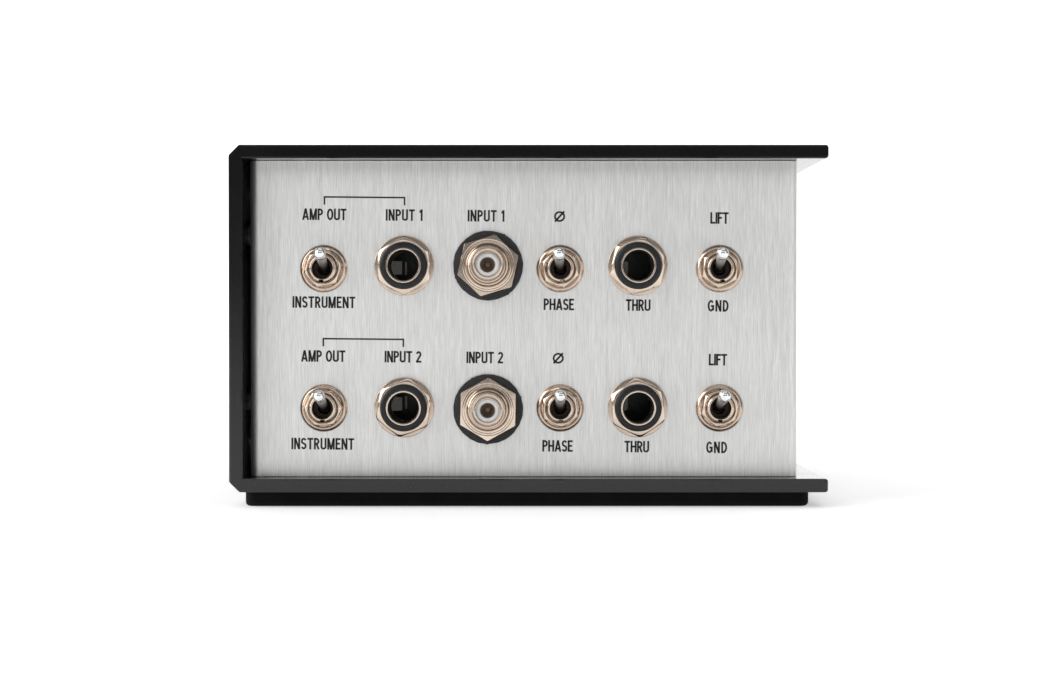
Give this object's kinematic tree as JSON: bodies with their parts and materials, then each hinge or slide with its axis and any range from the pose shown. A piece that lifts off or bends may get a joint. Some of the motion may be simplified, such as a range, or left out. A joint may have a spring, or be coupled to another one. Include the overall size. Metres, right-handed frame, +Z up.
{
  "type": "direct injection box",
  "caption": "Passive direct injection box: brushed panel with jacks, RCA sockets and toggle switches inside a thick black channel-shaped shell on a rubber pad.",
  "frame": {"origin": "middle of the base pad's underside", "axes": "+X to the right seen from the input panel, -Y out of the input panel, +Z up"},
  "size_m": [0.1396, 0.1597, 0.0846],
  "materials": {
    "black_shell": "fine satin black powder coat over thick plate",
    "pad_rubber": "matte black rubber",
    "brushed_sheet": "vertically brushed, clear anodised",
    "nickel": "bright nickel plate",
    "bright_lever": "polished chrome",
    "black_screw": "black oxide",
    "zinc": "zinc plate",
    "black_nylon": "moulded glass-filled nylon",
    "switch_case": "moulded phenolic",
    "fibre_washer": "stamped fibre, matte",
    "white_liner": "moulded plastic, slightly grey",
    "contact_metal": "nickel silver spring strip",
    "contact_brass": "tarnished brass",
    "tinned_pins": "tinned",
    "xlr_cast": "black chrome casting",
    "gold_pins": "gold flash",
    "board_green": "green solder mask",
    "can_steel": "drawn mu-metal",
    "core_steel": "stacked laminations",
    "coil_tape": "amber winding tape",
    "resistor_body": "blue lacquer",
    "capacitor_body": "red epoxy",
    "wire_red": "smooth insulation",
    "wire_grey": "smooth insulation"
  },
  "bodies": {
    "box": {"outer_shell": "black_shell", "base_pad": "pad_rubber", "chassis": "brushed_sheet", "rivet_nuts": "zinc", "clinch_nuts": "zinc", "side_screws": "black_screw", "bottom_screws": "black_screw", "toggle_bushings": "nickel", "toggle_cases": "switch_case", "toggle_terminals": "tinned_pins", "toggle_nuts": "nickel", "toggle_lock_washers": "nickel", "toggle_back_nuts": "nickel", "jack_housings": "black_nylon", "jack_nuts": "nickel", "jack_washers": "nickel", "jack_sleeve_rings": "nickel", "jack_normal_contacts": "contact_brass", "jack_pins": "tinned_pins", "rca_barrels": "nickel", "rca_insulators": "white_liner", "rca_center_contacts": "contact_brass", "rca_front_washers": "fibre_washer", "rca_nuts": "nickel", "rca_back_washers": "fibre_washer", "rca_ground_tags": "tinned_pins", "xlr_shells": "xlr_cast", "xlr_inserts": "black_nylon", "xlr_pins": "gold_pins", "xlr_screws": "black_screw", "xlr_nuts": "zinc", "input_board": "board_green", "transformer_board": "board_green", "transformer_cans": "can_steel", "transformer_cores": "core_steel", "transformer_coils": "coil_tape", "board_standoffs": "zinc", "board_screws": "zinc", "resistors": "resistor_body", "capacitors": "capacitor_body", "channel_1_wires": "wire_red", "channel_2_wires": "wire_grey", "ground_lug": "tinned_pins"},
    "pad_lever_1": {"pad_lever_1": "bright_lever"},
    "pad_rocker_1": {"pad_rocker_1": "contact_brass"},
    "phase_lever_1": {"phase_lever_1": "bright_lever"},
    "phase_rocker_1": {"phase_rocker_1": "contact_brass"},
    "lift_lever_1": {"lift_lever_1": "bright_lever"},
    "lift_rocker_1": {"lift_rocker_1": "contact_brass"},
    "input_tip_spring_1": {"input_tip_spring_1": "contact_metal"},
    "thru_tip_spring_1": {"thru_tip_spring_1": "contact_metal"},
    "pad_lever_2": {"pad_lever_2": "bright_lever"},
    "pad_rocker_2": {"pad_rocker_2": "contact_brass"},
    "phase_lever_2": {"phase_lever_2": "bright_lever"},
    "phase_rocker_2": {"phase_rocker_2": "contact_brass"},
    "lift_lever_2": {"lift_lever_2": "bright_lever"},
    "lift_rocker_2": {"lift_rocker_2": "contact_brass"},
    "input_tip_spring_2": {"input_tip_spring_2": "contact_metal"},
    "thru_tip_spring_2": {"thru_tip_spring_2": "contact_metal"}
  },
  "joints": [
    {"name": "pad_switch_1", "type": "hinge", "parent": "box", "child": "pad_lever_1", "pos_m": [-0.0483, -0.06735, 0.0559], "axis": [0.9962, 0, -0.0872], "range_deg": [0, 25]},
    {"name": "pad_rock_1", "type": "hinge", "parent": "box", "child": "pad_rocker_1", "pos_m": [-0.0483, -0.05925, 0.0559], "axis": [0.9962, 0, -0.0872], "range_deg": [-16.2, 0.2]},
    {"name": "phase_switch_1", "type": "hinge", "parent": "box", "child": "phase_lever_1", "pos_m": [0.00747, -0.06735, 0.0559], "axis": [0.9877, 0, 0.1564], "range_deg": [0, 25]},
    {"name": "phase_rock_1", "type": "hinge", "parent": "box", "child": "phase_rocker_1", "pos_m": [0.00747, -0.05925, 0.0559], "axis": [0.9877, 0, 0.1564], "range_deg": [-16.2, 0.2]},
    {"name": "lift_switch_1", "type": "hinge", "parent": "box", "child": "lift_lever_1", "pos_m": [0.04505, -0.06735, 0.0559], "axis": [0.9925, 0, 0.1219], "range_deg": [0, 25]},
    {"name": "lift_rock_1", "type": "hinge", "parent": "box", "child": "lift_rocker_1", "pos_m": [0.04505, -0.05925, 0.0559], "axis": [0.9925, 0, 0.1219], "range_deg": [-16.2, 0.2]},
    {"name": "input_tip_flex_1", "type": "hinge", "parent": "box", "child": "input_tip_spring_1", "pos_m": [-0.03411, -0.06085, 0.0566], "axis": [0, 0, 1], "range_deg": [0, 5], "stiffness_Nm_per_rad": 0.2, "springref_deg": -5.16},
    {"name": "thru_tip_flex_1", "type": "hinge", "parent": "box", "child": "thru_tip_spring_1", "pos_m": [0.02096, -0.06085, 0.0566], "axis": [0, 0, 1], "range_deg": [0, 5], "stiffness_Nm_per_rad": 0.2, "springref_deg": -5.16},
    {"name": "pad_switch_2", "type": "hinge", "parent": "box", "child": "pad_lever_2", "pos_m": [-0.0483, -0.06735, 0.02305], "axis": [1, 0, 0], "range_deg": [0, 25]},
    {"name": "pad_rock_2", "type": "hinge", "parent": "box", "child": "pad_rocker_2", "pos_m": [-0.0483, -0.05925, 0.02305], "axis": [1, 0, 0], "range_deg": [-16.2, 0.2]},
    {"name": "phase_switch_2", "type": "hinge", "parent": "box", "child": "phase_lever_2", "pos_m": [0.00747, -0.06735, 0.02305], "axis": [0.9994, 0, 0.0349], "range_deg": [0, 25]},
    {"name": "phase_rock_2", "type": "hinge", "parent": "box", "child": "phase_rocker_2", "pos_m": [0.00747, -0.05925, 0.02305], "axis": [0.9994, 0, 0.0349], "range_deg": [-16.2, 0.2]},
    {"name": "lift_switch_2", "type": "hinge", "parent": "box", "child": "lift_lever_2", "pos_m": [0.04505, -0.06735, 0.02305], "axis": [0.9994, 0, -0.0349], "range_deg": [0, 25]},
    {"name": "lift_rock_2", "type": "hinge", "parent": "box", "child": "lift_rocker_2", "pos_m": [0.04505, -0.05925, 0.02305], "axis": [0.9994, 0, -0.0349], "range_deg": [-16.2, 0.2]},
    {"name": "input_tip_flex_2", "type": "hinge", "parent": "box", "child": "input_tip_spring_2", "pos_m": [-0.03411, -0.06085, 0.0232], "axis": [0, 0, 1], "range_deg": [0, 5], "stiffness_Nm_per_rad": 0.2, "springref_deg": -5.16},
    {"name": "thru_tip_flex_2", "type": "hinge", "parent": "box", "child": "thru_tip_spring_2", "pos_m": [0.02096, -0.06085, 0.0232], "axis": [0, 0, 1], "range_deg": [0, 5], "stiffness_Nm_per_rad": 0.2, "springref_deg": -5.16}
  ],
  "couplings": [
    {"joint": "pad_rock_1", "follows": "pad_switch_1", "ratio": -0.64},
    {"joint": "phase_rock_1", "follows": "phase_switch_1", "ratio": -0.64},
    {"joint": "lift_rock_1", "follows": "lift_switch_1", "ratio": -0.64},
    {"joint": "pad_rock_2", "follows": "pad_switch_2", "ratio": -0.64},
    {"joint": "phase_rock_2", "follows": "phase_switch_2", "ratio": -0.64},
    {"joint": "lift_rock_2", "follows": "lift_switch_2", "ratio": -0.64}
  ]
}
